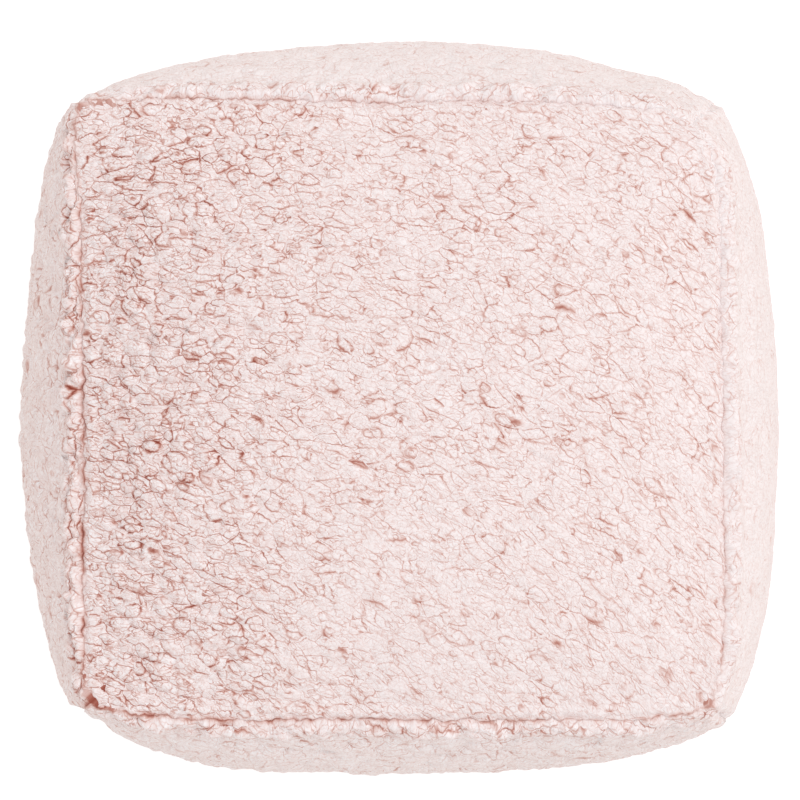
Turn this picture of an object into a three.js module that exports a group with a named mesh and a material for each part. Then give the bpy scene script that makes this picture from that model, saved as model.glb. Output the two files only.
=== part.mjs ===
// Square fleece pouf: a cube cover sewn from six panels of curled-pile fleece, filled until it bellies out.
// Millimetres, +Z up. The origin is the middle of the pouf on the surface that it stands on, the front
// faces -Y, and every size is taken over the tips of the pile.
//
// Each panel is one filled solid. The four side panels are mitred along the upright corner seams and meet
// on the pouf's upright axis, and the top and base panels lie on them along level seam planes.

import * as THREE from 'three';
import { mergeGeometries, mergeVertices } from 'three/addons/utils/BufferGeometryUtils.js';

// Overall size
const WIDTH = 460;
const DEPTH = 444;
const HEIGHT = 400;

// Levels of the two seam loops, and the gap kept between neighbouring panels
const TOP_SEAM_Z = 372;
const BASE_SEAM_Z = 16;
const PANEL_GAP = 0.3;

// The base loop is a little smaller than the top loop
const BASE_LOOP_RATIO = 0.985;

// Filled cloth swells steeply beside a seam and flattens towards its middle. Power says how wide the flat
// middle is, along a side, up a side and over the top panel, and a smaller roundness makes a steeper start.
const ALONG_POWER = 1.7;
const UPWARD = { power: 2.1, roundness: 0.55 };
const CROWN = { power: 2.3, roundness: 0.62 };
// Rise at which the sides are fullest: they sag a little below mid-height
const FULLEST_RISE = 0.47;

// Width of the roll between the flat of the base and its seam
const BASE_ROLL = 34;
// How sharply a drawn-in corner turns away from its two sides, and how soon it fades below the top seam
const CORNER_TURN = 16;
const CORNER_FADE = 7;

// Facets along and up a side panel, across the top panel, and across the base's roll and its flat
const SIDE_FACETS = 22;
const RISE_FACETS = 16;
const TOP_FACETS = 28;
const ROLL_FACETS = 5;
const FLAT_FACETS = 8;

// Corners of the top seam loop as if each were sharp, in plan, how far the sewing draws each one in, and
// how far the upright seam below it bows out. The back right corner is clearly rounder than the others.
const CORNERS = [
  { name: 'front_left', x: -187, y: -178, drawnIn: 5, seamBow: 4 },
  { name: 'front_right', x: 187, y: -179, drawnIn: 7, seamBow: 14 },
  { name: 'back_right', x: 184, y: 178, drawnIn: 20, seamBow: 6 },
  { name: 'back_left', x: -188, y: 179, drawnIn: 4, seamBow: 2 },
];

// Sides in the corners' order: how far each reaches from the axis, how far its top seam bows out, where
// along it, from its first corner at 0 to its second at 1, it is fullest, and how it swells from its corners
const SIDES = [
  { name: 'front', reach: DEPTH / 2, seamBow: 5, fullest: 0.42, roundness: 0.47 },
  { name: 'right', reach: WIDTH / 2, seamBow: 4, fullest: 0.53, roundness: 0.47 },
  { name: 'back', reach: DEPTH / 2, seamBow: 1, fullest: 0.47, roundness: 0.57 },
  { name: 'left', reach: WIDTH / 2, seamBow: -2, fullest: 0.53, roundness: 0.48 },
];

const FLEECE = { color: 0xf0ddd9, roughness: 0.95, metalness: 0 };

const UP = new THREE.Vector3(0, 0, 1);
const cornerPoints = CORNERS.map(({ x, y }) => new THREE.Vector3(x, y, 0));

/** Height of a swell over a unit span: 0 at both ends and 1 where it is fullest. */
function swell(at, { power, roundness }, fullest = 0.5) {
  const evened = at ** (Math.log(0.5) / Math.log(fullest));
  const fromMiddle = Math.abs(2 * evened - 1);
  return Math.max(0, 1 - fromMiddle ** power) ** roundness;
}

/** Stations from 0 to 1 that crowd together at both ends. */
function crowdedStations(count) {
  return Array.from({ length: count + 1 }, (_, i) => (1 - Math.cos((Math.PI * i) / count)) / 2);
}

/** Level outward direction of a side. */
function outward(side) {
  const along = cornerPoints[(side + 1) % 4].clone().sub(cornerPoints[side]);
  return along.cross(UP).normalize();
}

/** Radius scale of the seam loop at a rise of 0 (base seam) to 1 (top seam), at one corner. */
function loopScale(corner, rise) {
  const bow = CORNERS[corner].seamBow * swell(rise, UPWARD, FULLEST_RISE);
  return THREE.MathUtils.lerp(BASE_LOOP_RATIO, 1, rise) + bow / cornerPoints[corner].length();
}

/** Plan point on a side's chord between its corners, with both corners drawn in towards the axis. */
function chordPoint(side, along, rise) {
  const next = (side + 1) % 4;
  const start = cornerPoints[side].clone().multiplyScalar(loopScale(side, rise));
  const end = cornerPoints[next].clone().multiplyScalar(loopScale(next, rise));
  const fade = rise ** CORNER_FADE;
  const startTurn = fade * CORNERS[side].drawnIn * (1 - along) ** CORNER_TURN;
  const endTurn = fade * CORNERS[next].drawnIn * along ** CORNER_TURN;
  return start.clone().lerp(end, along)
    .addScaledVector(start.normalize(), -startTurn)
    .addScaledVector(end.normalize(), -endTurn);
}

/** Outward bow of a side's seam: a parabola that is 0 at the corners. */
function seamBow(side, along) {
  return SIDES[side].seamBow * (1 - (2 * along - 1) ** 2);
}

/** Outer surface of a side panel, along it from corner to corner and up it from seam to seam. */
function sidePoint(side, along, rise) {
  const normal = outward(side);
  const { reach, fullest, roundness } = SIDES[side];
  const belly = reach - chordPoint(side, fullest, FULLEST_RISE).dot(normal) - seamBow(side, fullest);
  const swellAlong = swell(along, { power: ALONG_POWER, roundness }, fullest);
  const swellUpward = swell(rise, UPWARD, FULLEST_RISE);
  const out = seamBow(side, along) + belly * swellAlong * swellUpward;
  const point = chordPoint(side, along, rise).addScaledVector(normal, out);
  point.z = THREE.MathUtils.lerp(BASE_SEAM_Z, TOP_SEAM_Z, rise);
  return point;
}

/** Plan point inside a seam loop: the smooth patch spanned by its four sides. */
function patchPoint(across, deep, rise) {
  const front = sidePoint(0, across, rise);
  const right = sidePoint(1, deep, rise);
  const back = sidePoint(2, 1 - across, rise);
  const left = sidePoint(3, 1 - deep, rise);
  const corners = [0, 1, 2, 3].map((side) => sidePoint(side, 0, rise));
  const shares = [(1 - across) * (1 - deep), across * (1 - deep), across * deep, (1 - across) * deep];
  const point = front.lerp(back, deep).add(left.lerp(right, across));
  corners.forEach((corner, i) => point.addScaledVector(corner, -shares[i]));
  return point;
}

/** Geometry of a grid of points, rows[j][i], facing the way that turns i towards j. */
function gridGeometry(rows) {
  const columns = rows[0].length;
  const index = [];
  for (let j = 0; j + 1 < rows.length; j += 1) {
    for (let i = 0; i + 1 < columns; i += 1) {
      const a = j * columns + i;
      const b = a + columns;
      index.push(a, a + 1, b + 1, a, b + 1, b);
    }
  }
  return new THREE.BufferGeometry().setFromPoints(rows.flat()).setIndex(index);
}

/** Geometry of the triangles from a centre to each edge of an open or closed line of points. */
function fanGeometry(centre, line) {
  const index = line.slice(1).flatMap((_, i) => [0, i + 1, i + 2]);
  return new THREE.BufferGeometry().setFromPoints([centre, ...line]).setIndex(index);
}

/** One fleece panel from the patches that close its solid. */
function panel(name, patches) {
  const geometry = mergeVertices(mergeGeometries(patches), 1e-3);
  geometry.computeVertexNormals();
  const mesh = new THREE.Mesh(geometry, new THREE.MeshStandardMaterial(FLEECE));
  mesh.name = name;
  return mesh;
}

/** Side panel: its swollen outer face, two mitres, and level ends that all run in to the axis. */
function sidePanel(side) {
  const stations = crowdedStations(SIDE_FACETS);
  const levels = crowdedStations(RISE_FACETS);
  const axisPoint = (rise) => new THREE.Vector3(0, 0, sidePoint(side, 0, rise).z);
  const outer = levels.map((rise) => stations.map((along) => sidePoint(side, along, rise)));
  const startMitre = levels.map((rise, j) => [axisPoint(rise), outer[j][0]]);
  const endMitre = levels.map((rise, j) => [outer[j].at(-1), axisPoint(rise)]);
  const base = fanGeometry(axisPoint(0), outer[0].toReversed());
  const top = fanGeometry(axisPoint(1), outer.at(-1));
  const mesh = panel(`side_panel_${SIDES[side].name}`, [
    gridGeometry(outer),
    gridGeometry(startMitre),
    gridGeometry(endMitre),
    base,
    top,
  ]);
  // Neighbouring mitres move apart by the panel gap when each side moves out by this much
  mesh.position.copy(outward(side)).multiplyScalar(PANEL_GAP / Math.SQRT2);
  return mesh;
}

/** Outline of a grid of points, counter-clockwise and closed. */
function outlineOf(rows) {
  const front = rows[0];
  const right = rows.map((row) => row.at(-1));
  const back = rows.at(-1).toReversed();
  const left = rows.map((row) => row[0]).toReversed();
  return [...front, ...right.slice(1), ...back.slice(1), ...left.slice(1)];
}

/** Top panel: a crown over the flat plane of the top seam. */
function topPanel() {
  const stations = crowdedStations(TOP_FACETS);
  const seamZ = TOP_SEAM_Z + PANEL_GAP;
  const crown = HEIGHT - seamZ;
  const rows = stations.map((deep) => stations.map((across) => {
    const point = patchPoint(across, deep, 1);
    return point.setZ(seamZ + crown * swell(across, CROWN) * swell(deep, CROWN));
  }));
  const underside = fanGeometry(new THREE.Vector3(0, 0, seamZ), outlineOf(rows).toReversed());
  return panel('top_panel', [gridGeometry(rows), underside]);
}

/** Numbers made by a function of a share that rises evenly from 0, in the given count of steps. */
function evenShares(count, steps, make) {
  return Array.from({ length: count }, (_, i) => make(i / steps));
}

/** Stations across the base: crowded in the roll at each edge, even over the flat. */
function baseStations() {
  const roll = BASE_ROLL / (2 * CORNERS[1].x);
  const flatSpan = 1 - 2 * roll;
  const quarterTurn = Math.PI / 2;
  const rising = evenShares(ROLL_FACETS, ROLL_FACETS, (share) => roll * (1 - Math.cos(quarterTurn * share)));
  const flat = evenShares(FLAT_FACETS + 1, FLAT_FACETS, (share) => roll + flatSpan * share);
  return [...rising, ...flat, ...rising.map((at) => 1 - at).toReversed()];
}

/** Base panel: flat where it rests, with a quarter-round roll up to the plane of the base seam. */
function basePanel() {
  const stations = baseStations();
  const seamZ = BASE_SEAM_Z - PANEL_GAP;
  const roll = stations[ROLL_FACETS];
  const settled = (at) => {
    const intoRoll = Math.min(1, Math.min(at, 1 - at) / roll);
    return Math.sqrt(1 - (1 - intoRoll) ** 2);
  };
  const rows = stations.map((deep) => stations.map((across) => {
    const point = patchPoint(across, deep, 0);
    return point.setZ(seamZ * (1 - settled(across) * settled(deep)));
  }));
  const mirrored = rows.map((row) => row.toReversed());
  const inside = fanGeometry(new THREE.Vector3(0, 0, seamZ), outlineOf(rows));
  return panel('base_panel', [gridGeometry(mirrored), inside]);
}

const pouf = new THREE.Group();
pouf.name = 'square_fleece_pouf';
pouf.add(topPanel(), basePanel());
SIDES.forEach((_, side) => pouf.add(sidePanel(side)));

export default pouf;
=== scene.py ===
"""A square fleece pouf: a cube cover sewn from six panels of curled-pile fleece, filled until it bellies out.

Metres, +Z up, the front faces -Y and the origin is the middle of the base on the floor. Each panel is one
closed mesh: its outer face is a grid worked out as whole arrays, and a fan closes it on the inside. The
cover is first blown up as cloth on a coarse cage, and the pile is then raised on the panels.
"""

import logging
from collections.abc import Callable
from dataclasses import dataclass, field
from enum import IntEnum

import bpy
import numpy as np
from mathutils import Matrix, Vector


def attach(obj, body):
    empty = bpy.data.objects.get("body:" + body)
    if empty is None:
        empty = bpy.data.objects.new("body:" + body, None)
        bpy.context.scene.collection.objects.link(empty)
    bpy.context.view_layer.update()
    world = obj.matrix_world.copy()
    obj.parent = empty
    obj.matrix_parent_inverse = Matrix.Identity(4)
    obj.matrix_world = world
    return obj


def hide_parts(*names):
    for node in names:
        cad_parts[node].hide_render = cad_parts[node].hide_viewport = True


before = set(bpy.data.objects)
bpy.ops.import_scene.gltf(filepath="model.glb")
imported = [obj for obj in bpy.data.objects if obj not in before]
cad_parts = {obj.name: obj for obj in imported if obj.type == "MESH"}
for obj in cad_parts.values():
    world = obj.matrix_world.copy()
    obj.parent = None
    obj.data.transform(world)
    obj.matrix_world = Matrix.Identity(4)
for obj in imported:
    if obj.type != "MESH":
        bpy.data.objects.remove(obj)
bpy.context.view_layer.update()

MM = 0.001
LOG = logging.getLogger("pouf")

Array = np.ndarray
Socket = bpy.types.NodeSocket


class Side(IntEnum):
    """The four sides, in the order of their first corners."""

    FRONT = 0
    RIGHT = 1
    BACK = 2
    LEFT = 3

    @property
    def node(self) -> str:
        """Name of the side's CAD node."""
        return f"side_panel_{self.name.lower()}"


def unit(vectors: Array) -> Array:
    """The vectors scaled to a length of 1."""
    return vectors / np.maximum(np.linalg.norm(vectors, axis=-1, keepdims=True), 1e-12)


def ease(low: float, high: float, value: Array) -> Array:
    """Rises smoothly from 0 at low to 1 at high: 3 t ** 2 - 2 t ** 3."""
    share = np.clip((value - low) / (high - low), 0, 1)
    return share * share * (3 - 2 * share)


def bell(distance: Array, width: float) -> Array:
    """Falls from 1 at no distance: exp(-(distance / width) ** 2)."""
    return np.exp(-((distance / width) ** 2))


def travel(points: Array, axis: int) -> Array:
    """Length travelled along the lines of a point grid from their first point, on axis 0 or 1."""
    steps = np.linalg.norm(np.diff(points, axis=axis), axis=-1)
    return np.pad(np.cumsum(steps, axis=axis), [(1 - axis, 0), (axis, 0)])


def quads_of(index: Array) -> Array:
    """Faces between neighbouring points of an index grid, as rows of four."""
    return np.stack([index[:-1, :-1], index[:-1, 1:], index[1:, 1:], index[1:, :-1]], -1).reshape(-1, 4)


def linked(name: str, data: bpy.types.ID) -> bpy.types.Object:
    """A new object of some data, linked to the scene."""
    thing = bpy.data.objects.new(name, data)
    bpy.context.scene.collection.objects.link(thing)
    return thing


def stations_on(curve: Array, count: int, first: float, last: float, reach: float = 12 * MM) -> Array:
    """Stations from 0 to 1 along a curve sampled at even shares, which crowd at its ends.

    Their density is 1 + first * exp(-d / reach) + last * exp(-e / reach), where d and e are the distances
    to the curve's two ends, and its running sum is inverted.

    Args:
        curve: Samples of the curve, of shape (n, 3).
        count: Number of steps.
        first: How much the stations crowd at the start.
        last: How much they crowd at the end.
        reach: Distance over which the crowding fades.

    Returns:
        The count + 1 stations.
    """
    steps = np.linalg.norm(np.diff(curve, axis=0), axis=-1)
    length = np.concatenate([[0], np.cumsum(steps)])
    density = 1 + first * np.exp(-length / reach) + last * np.exp(-(length[-1] - length) / reach)
    effort = np.concatenate([[0], np.cumsum(steps * (density[1:] + density[:-1]) / 2)])
    return np.interp(np.linspace(0, 1, count + 1) * effort[-1], effort, np.linspace(0, 1, len(curve)))


@dataclass(frozen=True)
class Swell:
    """How filled cloth swells between two seams: power widens its flat middle, roundness slows its start."""

    power: float
    roundness: float

    def at(self, share: Array, fullest: float = 0.5) -> Array:
        """Height of the swell over a unit span.

        The share is evened so that the fullest place falls on 1/2, and the height is
        (1 - |2 share - 1| ** power) ** roundness, which is 0 at both ends and 1 where it is fullest.

        Args:
            share: Places along the span, from 0 to 1.
            fullest: Place of the greatest height.

        Returns:
            The heights, from 0 to 1.
        """
        evened = np.asarray(share, float) ** (np.log(0.5) / np.log(fullest))
        return np.maximum(0, 1 - np.abs(2 * evened - 1) ** self.power) ** self.roundness


@dataclass(frozen=True)
class Corner:
    """A corner of the top seam loop in plan, how far it is drawn in, and how the seam below it bows out."""

    x: float
    y: float
    drawn_in: float
    seam_bow: float


@dataclass(frozen=True)
class SideShape:
    """How far a side reaches from the axis, its top seam's bow, where it is fullest, and how it swells."""

    reach: float
    seam_bow: float
    fullest: float
    swell: Swell


@dataclass(frozen=True)
class PoufForm:
    """The pouf's outer form over the tips of the pile, by the same formulas as its solids.

    Along runs from a side's first corner to its second, rise from the base seam to the top seam, across
    from left to right and deep from front to back, each from 0 to 1.
    """

    height: float = 0.400
    top_seam_z: float = 0.37215
    base_seam_z: float = 0.01585
    base_loop_ratio: float = 0.985
    upward: Swell = Swell(2.1, 0.55)
    crown: Swell = Swell(2.3, 0.62)
    fullest_rise: float = 0.47
    base_roll: float = 0.034
    corner_turn: int = 16
    corner_fade: int = 7
    corners: tuple[Corner, ...] = (
        Corner(-0.187, -0.178, 0.005, 0.004),
        Corner(0.187, -0.179, 0.007, 0.014),
        Corner(0.184, 0.178, 0.020, 0.006),
        Corner(-0.188, 0.179, 0.004, 0.002),
    )
    sides: tuple[SideShape, ...] = (
        SideShape(0.222, 0.005, 0.42, Swell(1.7, 0.47)),
        SideShape(0.230, 0.004, 0.53, Swell(1.7, 0.47)),
        SideShape(0.222, 0.001, 0.47, Swell(1.7, 0.57)),
        SideShape(0.230, -0.002, 0.53, Swell(1.7, 0.48)),
    )

    def corner_point(self, corner: int) -> Array:
        """A corner of the top seam loop in plan, as if it were sharp."""
        return np.array([self.corners[corner].x, self.corners[corner].y])

    def outward(self, side: int) -> Array:
        """Level outward direction of a side: its chord turned a quarter turn clockwise."""
        along = unit(self.corner_point((side + 1) % 4) - self.corner_point(side))
        return np.array([along[1], -along[0]])

    def loop_scale(self, corner: int, rise: Array) -> Array:
        """Radius scale of the seam loop at a rise: from the base ratio to 1, plus the upright seam's bow."""
        bow = self.corners[corner].seam_bow * self.upward.at(rise, self.fullest_rise)
        straight = self.base_loop_ratio + (1 - self.base_loop_ratio) * rise
        return straight + bow / np.linalg.norm(self.corner_point(corner))

    def chord_point(self, side: int, along: Array, rise: Array) -> Array:
        """Plan points on a side's chord, with both corners drawn in towards the axis.

        The straight chord is moved in by drawn_in * rise ** fade * (1 - along) ** turn at its first corner,
        and likewise at its second.

        Args:
            side: Index of the side.
            along: Shares along it.
            rise: Shares up it.

        Returns:
            Points of shape (..., 2).
        """
        chord = 0.0
        for corner, nearness in ((side, 1 - along), ((side + 1) % 4, along)):
            point = self.corner_point(corner)
            turn = rise**self.corner_fade * self.corners[corner].drawn_in * nearness**self.corner_turn
            chord = chord + point * (self.loop_scale(corner, rise) * nearness)[..., None]
            chord = chord - unit(point) * turn[..., None]
        return chord

    def side_point(self, side: int, along: Array | float, rise: Array | float) -> Array:
        """Outer surface of a side panel.

        The chord is moved outwards by the seam's bow, a parabola, and by the belly, which is the product
        of a swell along the side and a swell up it.

        Args:
            side: Index of the side.
            along: Shares along it.
            rise: Shares up it.

        Returns:
            Points of shape (..., 3).
        """
        along, rise = np.broadcast_arrays(np.asarray(along, float), np.asarray(rise, float))
        shape, normal = self.sides[side], self.outward(side)
        fullest = self.chord_point(side, np.array(shape.fullest), np.array(self.fullest_rise)) @ normal
        bow = shape.seam_bow * (1 - (2 * along - 1) ** 2)
        belly = shape.reach - fullest - shape.seam_bow * (1 - (2 * shape.fullest - 1) ** 2)
        swollen = shape.swell.at(along, shape.fullest) * self.upward.at(rise, self.fullest_rise)
        plan = self.chord_point(side, along, rise) + normal * (bow + belly * swollen)[..., None]
        z = self.base_seam_z + (self.top_seam_z - self.base_seam_z) * rise
        return np.concatenate([plan, z[..., None]], -1)

    def patch_point(self, across: Array, deep: Array, rise: float) -> Array:
        """Plan points inside a seam loop: the Coons patch spanned by its four sides.

        Args:
            across: Shares across.
            deep: Shares deep.
            rise: 0 for the base seam loop, 1 for the top seam loop.

        Returns:
            Points of shape (..., 2).
        """
        shares = (across, deep, 1 - across, 1 - deep)
        front, right, back, left = (self.side_point(side, shares[side], rise)[..., :2] for side in Side)
        a, d = across[..., None], deep[..., None]
        point = front * (1 - d) + back * d + left * (1 - a) + right * a
        for side, share in zip(Side, ((1 - a) * (1 - d), a * (1 - d), a * d, (1 - a) * d)):
            point = point - share * self.side_point(side, 0.0, rise)[:2]
        return point

    def top_point(self, across: Array, deep: Array) -> Array:
        """Top panel: the patch of the top seam loop, raised by the product of two crown swells."""
        crown = (self.height - self.top_seam_z) * self.crown.at(across) * self.crown.at(deep)
        return np.concatenate([self.patch_point(across, deep, 1.0), (self.top_seam_z + crown)[..., None]], -1)

    def base_point(self, across: Array, deep: Array) -> Array:
        """Base panel: flat where it rests, with a quarter-round roll up to its seam on every side.

        Args:
            across: Shares across.
            deep: Shares deep.

        Returns:
            Points of shape (..., 3).
        """
        roll = self.base_roll / (2 * self.corners[1].x)
        settled = 1.0
        for share in (across, deep):
            into = np.clip(np.minimum(share, 1 - share) / roll, 0, 1)
            settled = settled * np.sqrt(1 - (1 - into) ** 2)
        z = self.base_seam_z * (1 - settled)
        return np.concatenate([self.patch_point(across, deep, 0.0), z[..., None]], -1)

    def pile_direction(self, points: Array) -> Array:
        """Unit vectors along which the pile stands, which neighbouring panels share at their seam.

        They are the gradient of a rounded box: |x / a| ** 8 + |y / b| ** 8 + |z / c| ** 8 about the middle.
        """
        half = np.array([self.sides[Side.RIGHT].reach, self.sides[Side.FRONT].reach, self.height / 2])
        share = (points - np.array([0, 0, self.height / 2])) / half
        return unit(np.sign(share) * np.abs(share) ** 7 / half)


class SpaceNoise:
    """Smooth noise in space, from random directions on a lattice."""

    def __init__(self, seed: int, size: float) -> None:
        """Draws the directions. Size is the lattice's step in metres."""
        rng = np.random.default_rng(seed)
        self.order = rng.permutation(256)
        self.directions = unit(rng.normal(size=(256, 3)))
        self.size = size

    def at(self, points: Array, octaves: int = 1) -> Array:
        """The noise, about -1 to 1: each further octave is half as large and half as high.

        Args:
            points: Points of shape (..., 2) or (..., 3).
            octaves: Number of octaves.

        Returns:
            Values of shape (...).
        """
        if points.shape[-1] == 2:
            points = np.concatenate([points, np.zeros_like(points[..., :1])], -1)
        scaled, swing, total = points / self.size, 1.0, 0.0
        for _ in range(octaves):
            total = total + swing * self._octave(scaled)
            scaled, swing = scaled * 2 + 17.3, swing / 2
        return total

    def _octave(self, places: Array) -> Array:
        """One octave: each lattice corner's direction times the offset from it, blended by a quintic ease.

        Args:
            places: Points in steps of the lattice, of shape (..., 3).

        Returns:
            Values of shape (...).
        """
        cell = np.floor(places).astype(int)
        part = places - cell
        eased = part**3 * (part * (part * 6 - 15) + 10)
        total = 0.0
        for corner in np.ndindex(2, 2, 2):
            x, y, z = np.moveaxis((cell + corner) & 255, -1, 0)
            picked = self.order[(self.order[(self.order[x] + y) & 255] + z) & 255]
            slope = (self.directions[picked] * (part - corner)).sum(-1)
            total = total + slope * np.where(corner, eased, 1 - eased).prod(-1)
        return 1.6 * total


class CurlCells:
    """The cells of Blender's two-dimensional Voronoi texture, so that mesh and material share their tufts.

    The texture's hash mixes three 32-bit words in seven turns: word into, word by, and the bits it is turned.
    """

    RANDOMNESS = 0.92
    START = 0xDEADBEEF
    LENGTH_STEP = 4
    OFFSET = 13
    FULL_WORD = 0xFFFFFFFF
    TURNS = ((2, 1, 14), (0, 2, 11), (1, 0, 25), (2, 1, 16), (0, 2, 4), (1, 0, 14), (2, 1, 24))

    @classmethod
    def _hash(cls, words: list[Array]) -> Array:
        """The texture's own hash, scaled to run from 0 to 1.

        Args:
            words: Two or three arrays of 32-bit words.

        Returns:
            A number for each place in them.
        """
        start = (cls.START + cls.LENGTH_STEP * len(words) + cls.OFFSET) & cls.FULL_WORD
        state = [np.full(words[0].shape, start, np.uint32) for _ in range(3)]
        with np.errstate(over="ignore"):
            for slot, word in enumerate(words):
                state[slot] = state[slot] + word
            for into, by, bits in cls.TURNS:
                turn = (state[by] << np.uint32(bits)) | (state[by] >> np.uint32(32 - bits))
                state[into] = (state[into] ^ state[by]) - turn
        return state[2] / cls.FULL_WORD

    @classmethod
    def _points(cls, cell: Array) -> Array:
        """The place of each cell's point inside its cell."""
        words = [(cell[..., k] + np.float32(0)).view(np.uint32) for k in (0, 1)]
        one = np.full(words[0].shape, 1, np.float32).view(np.uint32)
        return np.stack([cls._hash(words), cls._hash([*words, one])], -1)

    @classmethod
    def nearest(cls, place: Array) -> tuple[Array, Array]:
        """Finds the nearest cell point among the nine cells around.

        Args:
            place: Places in cells, of shape (..., 2).

        Returns:
            The distance to that point, and its cell's random number.
        """
        home = np.floor(place)
        best, number = np.full(place.shape[:-1], np.inf), np.zeros(place.shape[:-1])
        for step in np.ndindex(3, 3):
            cell = home + np.array(step) - 1
            inside = cls._points(cell.astype(np.float32))
            apart = np.linalg.norm(cell + inside * cls.RANDOMNESS - place, axis=-1)
            closer = apart < best
            best = np.where(closer, apart, best)
            number = np.where(closer, inside.sum(-1) % 1, number)
        return best, number


class TuftShape:
    """Round tufts of pile in three overlapping sets, the same in the mesh and in the material.

    A place is given in cells. Each set turns and shifts it, and has one tuft to a cell of its texture, of
    the height lift + uneven * (n - 0.5) - (d / r) ** 2 / 2, where d is the distance to the tuft's middle, n
    its random number and r = radius * (least + spread * n). The highest tuft is the one that shows, so the
    edges between tufts are arcs. Below the level, a place lies in a hollow.
    """

    RADII = (0.60, 0.50, 0.42)
    LIFTS = (0.0, 0.12, 0.22)
    LEAST = 0.75
    SPREAD = 0.5
    UNEVEN = 0.25
    TURN = 0.7
    SHIFT = 17.3
    LEVEL = 0.3

    @classmethod
    def place(cls, turn: int, x: "Array | Wire", y: "Array | Wire") -> tuple["Array | Wire", ...]:
        """A place in the cells of one set, as x and y."""
        cos, sin = np.cos(cls.TURN * turn), np.sin(cls.TURN * turn)
        shift = cls.SHIFT * turn
        return x * cos + (y * sin + shift), y * cos + (x * -sin + shift)

    @classmethod
    def height(cls, turn: int, apart: "Array | Wire", number: "Array | Wire") -> "Array | Wire":
        """Height of one set's tuft, from the distance to its middle and its random number."""
        fall = apart / ((number * cls.SPREAD + cls.LEAST) * cls.RADII[turn])
        return number * cls.UNEVEN + (cls.LIFTS[turn] - cls.UNEVEN / 2) - fall * fall * 0.5

    @classmethod
    def top(cls, place: Array) -> tuple[Array, Array]:
        """Finds the tuft that shows at each place.

        Args:
            place: Places in cells, of shape (..., 2).

        Returns:
            The tuft's height there, and its random number.
        """
        best, numbers = -np.inf, 0.0
        for turn in range(len(cls.RADII)):
            apart, number = CurlCells.nearest(np.stack(cls.place(turn, place[..., 0], place[..., 1]), -1))
            height = cls.height(turn, apart, number)
            numbers = np.where(height > best, number, numbers)
            best = np.maximum(best, height)
        return best, numbers


@dataclass(frozen=True)
class CurlLayer:
    """One size of curl on the mesh: its pitch, how long and how bent its rows are, and how high it stands."""

    name: str
    pitch: float
    stretch: float
    wander: float
    drift: float
    depth: float
    seed: int


@dataclass(frozen=True)
class Nap:
    """How the pile lies on a panel: its seed, its grain, and how drawn out it is along the grain.

    Its layers are the clumps, the curls on them, and the long partings across both.
    """

    seed: int
    grain: float = -0.38
    stretch: float = 1.0
    layers: tuple[CurlLayer, ...] = (
        CurlLayer("clumps", 14.5 * MM, 1.3, wander=1.3 * MM, drift=5.0 * MM, depth=5.0 * MM, seed=0),
        CurlLayer("curls", 6.6 * MM, 1.2, wander=0.9 * MM, drift=3.0 * MM, depth=2.8 * MM, seed=3),
        CurlLayer("partings", 32 * MM, 1.3, wander=3.0 * MM, drift=8.0 * MM, depth=2.4 * MM, seed=6),
    )

    def noise(self, offset: int, size: float, places: Array, octaves: int = 2) -> Array:
        """One of the nap's own noises at some places, picked by its offset from the seed."""
        return SpaceNoise(self.seed + offset, size).at(places, octaves)

    def _along_grain(self, cloth: Array, bends: list[Array], pitch: float, stretch: float) -> Array:
        """Places bent, turned so that the grain runs along x, drawn out along it, and counted in pitches."""
        cos, sin = np.cos(self.grain), np.sin(self.grain)
        turned = (cloth + np.stack(bends, -1)) @ np.array([[cos, -sin], [sin, cos]])
        return turned / (pitch * np.array([stretch, 1 / stretch]))

    def bent(self, cloth: Array) -> Array:
        """Places on the cloth in millimetres along and across the grain, for the finish."""
        bends = [5 * MM * self.noise(30 + axis, 28 * MM, cloth) for axis in (0, 1)]
        return self._along_grain(cloth, bends, MM, self.stretch)

    def place(self, layer: CurlLayer, cloth: Array) -> Array:
        """Places in cells of a layer, for points on the cloth, which a fine wander and a slow drift bend.

        Args:
            layer: The layer.
            cloth: Places on the flat cloth in metres, of shape (..., 2).

        Returns:
            Places of the same shape.
        """
        bends = []
        for axis in (layer.seed, layer.seed + 1):
            fine = self.noise(axis, 1.6 * layer.pitch, cloth, 3)
            slow = self.noise(axis + 10, 6 * layer.pitch, cloth)
            bends.append(layer.wander * fine + layer.drift * slow)
        cells = self._along_grain(cloth, bends, layer.pitch, layer.stretch * self.stretch)
        return cells + 40.0 + self.seed + layer.seed


@dataclass(frozen=True)
class Surface:
    """A panel's outer face before its pile: points, places on the cloth, and distances to its seams."""

    points: Array
    cloth: Array
    to_seam: Array
    to_top: Array

    @classmethod
    def over(cls, points: Array) -> "Surface":
        """Measures a grid whose rows run along the panel and whose columns run up it.

        Args:
            points: Grid of points, of shape (rows, columns, 3).

        Returns:
            The measured surface.
        """
        along, up = travel(points, 1), travel(points, 0)
        rest_along, rest_up = along[:, -1:] - along, up[-1:] - up
        cloth = np.stack([(along - rest_along) / 2, (up - rest_up) / 2], -1)
        return cls(points, cloth, np.minimum.reduce([along, rest_along, up, rest_up]), rest_up)

    def normals(self) -> Array:
        """Unit normals: the cross product of the slopes along the rows and up the columns."""
        return unit(np.cross(np.gradient(self.points, axis=1), np.gradient(self.points, axis=0)))


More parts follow.
